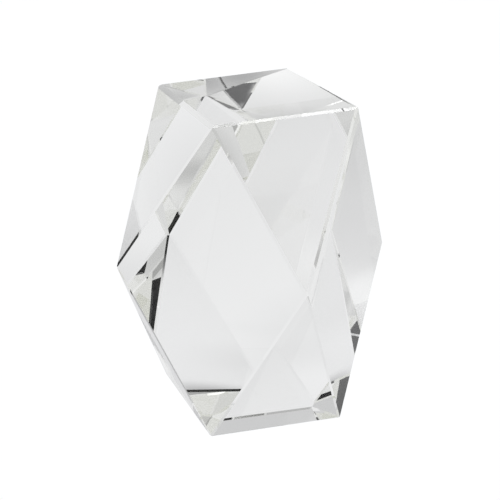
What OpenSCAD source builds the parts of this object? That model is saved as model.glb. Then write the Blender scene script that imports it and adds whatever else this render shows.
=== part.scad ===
// Crystal award: one solid block of optical crystal, cut and polished by hand.
// It is an upright box with its eight corners cut off so deeply that the cuts meet at
// mid height, so each side is left as an upright rhomb and each corner is a triangle.
// Every cut is a little off square, and every edge between two facets has a fine arris.
// The block stands on its flat base. +Z is up, -Y is the front, millimetres and degrees.

/* [Block] */
// Height from the base to the middle of the top facet
block_h = 120; // [90:1:160]
// Distance between the left and the right facet
block_w = 76; // [65:0.5:90]
// Distance between the front and the back facet
block_d = 75; // [65:0.5:90]
// Height at which the upper and the lower corner cuts meet
waist_z = 60.5; // [54:0.5:66]
// How far the top facet slopes down to the right
top_slope = 0.5; // [0:0.5:2]

/* [Side facets: turn about the vertical, lean towards the sky] */
// Front facet
side_front = [0, 0.5]; // [-2:0.5:2]
// Right facet
side_right = [-0.5, -0.5]; // [-2:0.5:2]
// Back facet
side_back = [0, -0.5]; // [-2:0.5:2]
// Left facet
side_left = [0.5, 0.5]; // [-2:0.5:2]

/* [Upper corner cuts: turn about the vertical, rise towards the sky, reach outwards] */
// Between the front and the right facet
upper_front_right = [3.5, 1.5, 0]; // [-8:0.5:8]
// Between the right and the back facet
upper_back_right = [7, -4, -2]; // [-8:0.5:8]
// Between the back and the left facet
upper_back_left = [4.5, -1.5, -1]; // [-8:0.5:8]
// Between the left and the front facet
upper_front_left = [2.5, 0, 0]; // [-8:0.5:8]

/* [Lower corner cuts: turn about the vertical, fall towards the base, reach outwards] */
// Between the front and the right facet
lower_front_right = [-2.5, -2.5, -0.5]; // [-8:0.5:8]
// Between the right and the back facet
lower_back_right = [-2, 1.5, -0.5]; // [-8:0.5:8]
// Between the back and the left facet
lower_back_left = [-5, 0.5, 0.5]; // [-8:0.5:8]
// Between the left and the front facet
lower_front_left = [-1.5, 0, -0.5]; // [-8:0.5:8]

/* [Arrises: width of the flat polished along each edge] */
// Most edges
arris_w = 1; // [0.4:0.1:1.6]
// Edge between the top facet and the upper front left cut
arris_top_left_w = 2.2; // [0.4:0.1:3]
// Edge between the top facet and the upper front right cut
arris_top_right_w = 1.3; // [0.4:0.1:3]
// Edge between the right facet and the upper front right cut
arris_right_w = 1.5; // [0.4:0.1:3]

/* [Hidden] */

// A cutting tool large enough to pass right across the block
tool = 3 * block_h;
// The four sides in order: front, right, back, left
SIDE_AZIMUTH = [-90, 0, 90, 180];
SIDE_CUT = [side_front, side_right, side_back, side_left];
SIDE_REACH = [block_d / 2, block_w / 2, block_d / 2, block_w / 2];
// The four corners in order, each between one side and the next
CORNER_SIGN = [[1, -1], [1, 1], [-1, 1], [-1, -1]];
UPPER_CUT = [upper_front_right, upper_back_right, upper_back_left, upper_front_left];
LOWER_CUT = [lower_front_right, lower_back_right, lower_back_left, lower_front_left];
// Arris widths of each upper cut: along the top, along the side before, along the side after
UPPER_ARRIS = [
    [arris_top_right_w, arris_w, arris_right_w],
    [arris_w, arris_w, arris_w],
    [arris_w, arris_w, arris_w],
    [arris_top_left_w, arris_w, arris_w],
];

function direction(azimuth, elevation) =
    [cos(elevation) * cos(azimuth), cos(elevation) * sin(azimuth), sin(elevation)];
// A facet is [outward unit normal, distance of its plane from the centre of the base].
// Its reach is measured from the block's axis at the given height.
function facet(normal, reach, height) = [normal, reach + normal.z * height];

function top_facet() = facet(direction(0, 90 - top_slope), 0, block_h);
function base_facet() = facet([0, 0, -1], 0, 0);
function side_facet(i) =
    let (cut = SIDE_CUT[i])
    facet(direction(SIDE_AZIMUTH[i] + cut[0], cut[1]), SIDE_REACH[i], waist_z);

// An even corner cut passes through the middles of three neighbouring edges of the box,
// and the cut's own turn, rise and reach then move it off that place. up is 1 or -1.
function corner_facet(i, up, cut) =
    let (
        rise_h = up > 0 ? block_h - waist_z : waist_z,
        across = [2 * CORNER_SIGN[i].x / block_w, 2 * CORNER_SIGN[i].y / block_d, up / rise_h],
        normal = across / norm(across),
        azimuth = atan2(normal.y, normal.x),
        elevation = asin(normal.z)
    )
    facet(direction(azimuth + cut[0], elevation + up * cut[1]), 2 / norm(across) + cut[2], waist_z);

// The arris of the edge where two facets meet: a narrow flat that leans equally to both
function arris(a, b, width) =
    let (
        sum = a[0] + b[0],
        half_bend = acos(a[0] * b[0]) / 2,
        depth = width / 2 * tan(half_bend)
    )
    [sum / norm(sum), (a[1] + b[1]) / norm(sum) - depth];

function corner_arrises(corner, end, i, widths) = [
    arris(corner, end, widths[0]),
    arris(corner, side_facet(i), widths[1]),
    arris(corner, side_facet((i + 1) % 4), widths[2]),
];

// Removes everything outside one facet's plane
module beyond(f) {
    azimuth = atan2(f[0].y, f[0].x);
    elevation = asin(f[0].z);
    translate(f[0] * f[1])
        rotate([0, 90 - elevation, azimuth])
            translate([-tool / 2, -tool / 2, 0])
                cube(tool);
}

module crystal_block() {
    all_even = [arris_w, arris_w, arris_w];
    upper = [for (i = [0:3]) corner_facet(i, 1, UPPER_CUT[i])];
    lower = [for (i = [0:3]) corner_facet(i, -1, LOWER_CUT[i])];
    color("aliceblue", 0.5)
        difference() {
            translate([-block_w, -block_d, 0])
                cube([2 * block_w, 2 * block_d, 1.1 * block_h]);
            beyond(top_facet());
            for (i = [0:3]) {
                beyond(side_facet(i));
                beyond(upper[i]);
                beyond(lower[i]);
                for (f = corner_arrises(upper[i], top_facet(), i, UPPER_ARRIS[i])) beyond(f);
                for (f = corner_arrises(lower[i], base_facet(), i, all_even)) beyond(f);
            }
        }
}

crystal_block();
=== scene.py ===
"""Looks of the crystal award: one clear block on a white table in a small photo studio."""
import math

import bpy
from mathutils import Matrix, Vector

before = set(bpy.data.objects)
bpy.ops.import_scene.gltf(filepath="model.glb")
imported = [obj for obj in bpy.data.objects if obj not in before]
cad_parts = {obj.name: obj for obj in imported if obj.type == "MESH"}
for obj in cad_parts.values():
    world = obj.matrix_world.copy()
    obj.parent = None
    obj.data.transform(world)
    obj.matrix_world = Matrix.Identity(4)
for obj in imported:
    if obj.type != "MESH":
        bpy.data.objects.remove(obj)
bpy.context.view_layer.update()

# Lengths are in metres, angles in degrees. A direction's azimuth is 0 behind the block (+Y),
# 90 to its right (+X) and 180 in front of it.

# Camera: the photograph's viewing angle, a little to the right of the front
CAMERA_AZIMUTH, CAMERA_ELEVATION = 155.49, 22.18
CAMERA_DISTANCE = 0.719
CAMERA_LENS_MM = 139.0
# The point that the camera aims at: how far to the right of the block's axis, and its height
AIM_RIGHT, AIM_HEIGHT = -0.0012, 0.0601
BLACK_LEVEL = 0.055  # the picture's contrast
MAX_BOUNCES = 32  # light crosses the block many times before it leaves

# Crystal: its absorption is (1 - colour) * density per metre, a little stronger in blue
CRYSTAL_IOR = 1.534
ABSORPTION_COLOUR = (0.74, 0.75, 0.64)
ABSORPTION_DENSITY = 1.0
# The hand polish leaves every facet very slightly wavy: waves per metre, depth, fine detail
WAVE_SCALE, WAVE_DEPTH, WAVE_DETAIL = 45.0, 0.00003, 1.0

# Everything around the block glows softly. Brightness 1 is paper white.
LIGHT_TINT = (0.985, 0.988, 1.0)
BACKGROUND_BRIGHTNESS = 1.02

# White table that glows, with painted light: brighter behind and to the left of the block,
# where the window light falls, than in front and to its right
TABLE_HALF_WIDTH = 12.0
TABLE_GAP = 0.0002
TABLE_DIM, TABLE_BRIGHT = 0.67, 0.835
TABLE_BRIGHT_AZIMUTH = -15
TABLE_FADE = 0.11  # distance from the block over which the one becomes the other
# Patches of light and shade on the table: x, y, radius, change of brightness
TABLE_PATCHES = {
    "light_gathered_by_the_block": (-0.040, -0.045, 0.048, 0.28),
    "shade_under_the_block": (-0.012, 0.014, 0.032, -0.42),
    "shade_in_front_right": (0.020, -0.046, 0.030, -0.20),
    "shade_in_front": (-0.013, -0.100, 0.034, -0.16),
    "shade_far_in_front": (-0.088, -0.235, 0.090, -0.07),
    "shade_to_the_right": (0.085, -0.063, 0.030, -0.14),
    "shade_to_the_left": (-0.140, 0.125, 0.085, -0.035),
    "shade_behind_the_block": (0.020, 0.100, 0.065, -0.11),
    "light_behind_the_block": (0.020, 0.270, 0.240, 0.045),
    "shade_of_the_block": (0.0, 0.0, 0.055, -0.05),
    "light_around_the_block": (0.0, 0.0, 0.30, 0.07),
}

# Surroundings by direction from the block. A card is azimuth, elevation, half width, half
# height, edge softness and brightness. Cards lie one over another in this order, on a tent of
# even brightness.
TENT_BRIGHTNESS = 0.85
CARDS = {
    "dim_ceiling_front_left": (-135, 60, 55, 5, 4, 0.50),
    "dim_wall_left": (-75, 27, 16, 10, 8, 0.62),
    "dim_wall_behind": (-29, 30, 5, 5, 3, 0.62),
    "dim_corner_behind": (-40, 14, 12, 6, 6, 0.66),
    "dim_ceiling_behind": (-15, 56, 24, 14, 12, 0.66),
    "dim_strip_left": (-107, 8, 26, 6, 7, 0.70),
    "dim_strip_behind": (29, 4, 26, 4, 3, 0.55),
    "window_left": (-139, 38, 14, 14, 3, 1.0),
    "window_top": (-148, 54, 14, 6, 3, 1.0),
    "window_bar": (-132, 30, 4, 3, 2, 0.5),
}
# Unlit openings of the tent, drawn clockwise as seen from the block: corners as azimuth and
# elevation, joined by straight edges, then edge softness and brightness
OPENINGS = {
    "towards_the_camera": ([(80, 7), (82, 35), (86, 56), (152, 62), (178, 47), (190, 22),
                            (192, 3), (125, 5)], 0.9, 0.03),
    "gap_front_left": ([(-178, 27), (-165, 26.5), (-148, 13), (-143, -4)], 0.4, 0.03),
}
# Lamps and dark spots, given like the cards, lie over everything else
LAMPS = {
    "strip_beside_the_camera": (117, 14.5, 1.5, 2, 0.3, 0.9),
    "dark_doorway_left": (-80, 19, 2, 2, 0.5, 0.03),
    "dim_corner_left": (-92, 38, 6, 5, 3, 0.42),
    "softbox_above": (32, 68, 9, 5, 2, 5.0),
}
# Because no facet is perfectly flat, light that has met many facets comes from everywhere at
# once: between these two numbers of facets it fades to one even brightness
MIXED_FROM, MIXED_TO, MIXED_BRIGHTNESS = 7, 11, 0.80


def node(tree, kind, **inputs):
    """A new shader node with some of its inputs set, spaces written as underscores."""
    made = tree.nodes.new(kind)
    for name, value in inputs.items():
        made.inputs[name.replace("_", " ")].default_value = value
    return made


def new_tree(material):
    material.use_nodes = True
    material.node_tree.nodes.clear()
    return material.node_tree


def fill(tree, socket, value):
    """Links a socket to the value if that is a socket too, and sets it if it is a number."""
    if isinstance(value, bpy.types.NodeSocket):
        tree.links.new(value, socket)
    elif value is not None:
        socket.default_value = value


def maths(tree, operation, a, b=None, c=None):
    """A Math node; a, b and c are sockets or numbers. Returns its output socket."""
    made = tree.nodes.new("ShaderNodeMath")
    made.operation = operation
    for socket, value in zip(made.inputs, (a, b, c)):
        fill(tree, socket, value)
    return made.outputs[0]


def dot(tree, vector, axis):
    """How far a vector socket reaches along a fixed axis."""
    made = tree.nodes.new("ShaderNodeVectorMath")
    made.operation = "DOT_PRODUCT"
    tree.links.new(vector, made.inputs[0])
    made.inputs[1].default_value = axis
    return made.outputs["Value"]


def fade(tree, value, start, end, at_start=0.0, at_end=1.0):
    """A smooth step between two values of a socket."""
    made = tree.nodes.new("ShaderNodeMapRange")
    made.interpolation_type = "SMOOTHSTEP"
    for socket, given in zip(made.inputs, (value, start, end, at_start, at_end)):
        fill(tree, socket, given)
    return made.outputs[0]


def lay_over(tree, under, mask, brightness):
    """under + mask * (brightness - under)"""
    return maths(tree, "MULTIPLY_ADD", mask, maths(tree, "SUBTRACT", brightness, under), under)


def direction(azimuth, elevation):
    """The unit vector of a direction given in degrees."""
    azimuth, elevation = math.radians(azimuth), math.radians(elevation)
    return Vector((math.sin(azimuth) * math.cos(elevation),
                   math.cos(azimuth) * math.cos(elevation), math.sin(elevation)))


def as_seen(tree, brightness):
    """The studio's brightness for rays from the crystal, and clean white for the camera."""
    path = tree.nodes.new("ShaderNodeLightPath").outputs
    mixed = fade(tree, path["Ray Depth"], MIXED_FROM, MIXED_TO)
    brightness = lay_over(tree, brightness, mixed, MIXED_BRIGHTNESS)
    return lay_over(tree, brightness, path["Is Camera Ray"], BACKGROUND_BRIGHTNESS)


def make_crystal():
    material = bpy.data.materials.new("clear_crystal")
    tree = new_tree(material)
    out = node(tree, "ShaderNodeOutputMaterial")
    glass = node(tree, "ShaderNodeBsdfPrincipled", Base_Color=(1, 1, 1, 1), Roughness=0.0,
                 IOR=CRYSTAL_IOR, Transmission_Weight=1.0)
    wave = node(tree, "ShaderNodeTexNoise", Scale=WAVE_SCALE, Detail=WAVE_DETAIL)
    place = tree.nodes.new("ShaderNodeTexCoord").outputs["Object"]
    tree.links.new(place, wave.inputs["Vector"])
    polish = node(tree, "ShaderNodeBump", Strength=1.0, Distance=WAVE_DEPTH)
    tree.links.new(wave.outputs[0], polish.inputs["Height"])
    tree.links.new(polish.outputs[0], glass.inputs["Normal"])
    tint = node(tree, "ShaderNodeVolumeAbsorption", Color=(*ABSORPTION_COLOUR, 1),
                Density=ABSORPTION_DENSITY)
    tree.links.new(glass.outputs[0], out.inputs["Surface"])
    tree.links.new(tint.outputs[0], out.inputs["Volume"])
    return material


def make_table():
    half = TABLE_HALF_WIDTH
    mesh = bpy.data.meshes.new("table_top")
    corners = [(-half, -half, -TABLE_GAP), (half, -half, -TABLE_GAP),
               (half, half, -TABLE_GAP), (-half, half, -TABLE_GAP)]
    mesh.from_pydata(corners, [], [(0, 1, 2, 3)])
    table = bpy.data.objects.new("table_top", mesh)
    bpy.context.scene.collection.objects.link(table)
    material = bpy.data.materials.new("white_table")
    tree = new_tree(material)
    place = tree.nodes.new("ShaderNodeTexCoord").outputs["Object"]
    along = dot(tree, place, direction(TABLE_BRIGHT_AZIMUTH, 0))
    level = fade(tree, along, -TABLE_FADE, TABLE_FADE, TABLE_DIM, TABLE_BRIGHT)
    for x, y, radius, change in TABLE_PATCHES.values():
        away = tree.nodes.new("ShaderNodeVectorMath")
        away.operation = "DISTANCE"
        tree.links.new(place, away.inputs[0])
        away.inputs[1].default_value = (x, y, 0)
        level = maths(tree, "ADD", level,
                      fade(tree, away.outputs["Value"], 0, radius, change, 0))
    glow = node(tree, "ShaderNodeEmission", Color=(*LIGHT_TINT, 1))
    tree.links.new(as_seen(tree, level), glow.inputs["Strength"])
    out = node(tree, "ShaderNodeOutputMaterial")
    tree.links.new(glow.outputs[0], out.inputs["Surface"])
    mesh.materials.append(material)


def make_surroundings():
    world = bpy.data.worlds.new("studio")
    bpy.context.scene.world = world
    tree = new_tree(world)
    ray = tree.nodes.new("ShaderNodeTexCoord").outputs["Generated"]
    parts = tree.nodes.new("ShaderNodeSeparateXYZ")
    tree.links.new(ray, parts.inputs[0])
    x, y, z = parts.outputs
    azimuth = maths(tree, "DEGREES", maths(tree, "ARCTAN2", x, y))
    elevation = maths(tree, "DEGREES", maths(tree, "ARCSINE", z))

    def within(angle, centre, half, soft):
        offset = maths(tree, "WRAP", maths(tree, "SUBTRACT", angle, centre), 180, -180)
        return fade(tree, maths(tree, "ABSOLUTE", offset), half, half + soft, 1, 0)

    def card(under, az, el, half_width, half_height, soft, brightness):
        mask = maths(tree, "MULTIPLY", within(azimuth, az, half_width, soft),
                     within(elevation, el, half_height, soft))
        return lay_over(tree, under, mask, brightness)

    def opening(under, corners, soft, brightness):
        mask = 1.0
        reach = math.radians(soft) / 2
        for a, b in zip(corners, corners[1:] + corners[:1]):
            inward = direction(*a).cross(direction(*b)).normalized()
            mask = maths(tree, "MULTIPLY", mask, fade(tree, dot(tree, ray, inward),
                                                      -reach, reach))
        return lay_over(tree, under, mask, brightness)

    level = TENT_BRIGHTNESS
    for given in CARDS.values():
        level = card(level, *given)
    for given in OPENINGS.values():
        level = opening(level, *given)
    for given in LAMPS.values():
        level = card(level, *given)
    light = node(tree, "ShaderNodeBackground", Color=(*LIGHT_TINT, 1))
    tree.links.new(as_seen(tree, level), light.inputs["Strength"])
    out = node(tree, "ShaderNodeOutputWorld")
    tree.links.new(light.outputs[0], out.inputs["Surface"])


def make_camera():
    data = bpy.data.cameras.new("camera")
    data.lens = CAMERA_LENS_MM
    camera = bpy.data.objects.new("camera", data)
    bpy.context.scene.collection.objects.link(camera)
    back = direction(CAMERA_AZIMUTH, CAMERA_ELEVATION)
    aim = AIM_RIGHT * direction(CAMERA_AZIMUTH - 90, 0)
    aim.z = AIM_HEIGHT
    camera.location = aim + CAMERA_DISTANCE * back
    camera.rotation_euler = (-back).to_track_quat("-Z", "Y").to_euler()
    bpy.context.scene.camera = camera


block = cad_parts["crystal_block"]
crystal = make_crystal()
for slot in block.material_slots:
    slot.material = crystal
make_table()
make_surroundings()
make_camera()

scene = bpy.context.scene
scene.view_settings.view_transform = "Standard"
scene.view_settings.look = "None"
scene.view_settings.use_curve_mapping = True
scene.view_settings.curve_mapping.black_level = (BLACK_LEVEL,) * 3
scene.view_settings.curve_mapping.update()
scene.cycles.max_bounces = MAX_BOUNCES
scene.cycles.transmission_bounces = MAX_BOUNCES
scene.cycles.glossy_bounces = MAX_BOUNCES
scene.cycles.caustics_reflective = True
scene.cycles.caustics_refractive = True
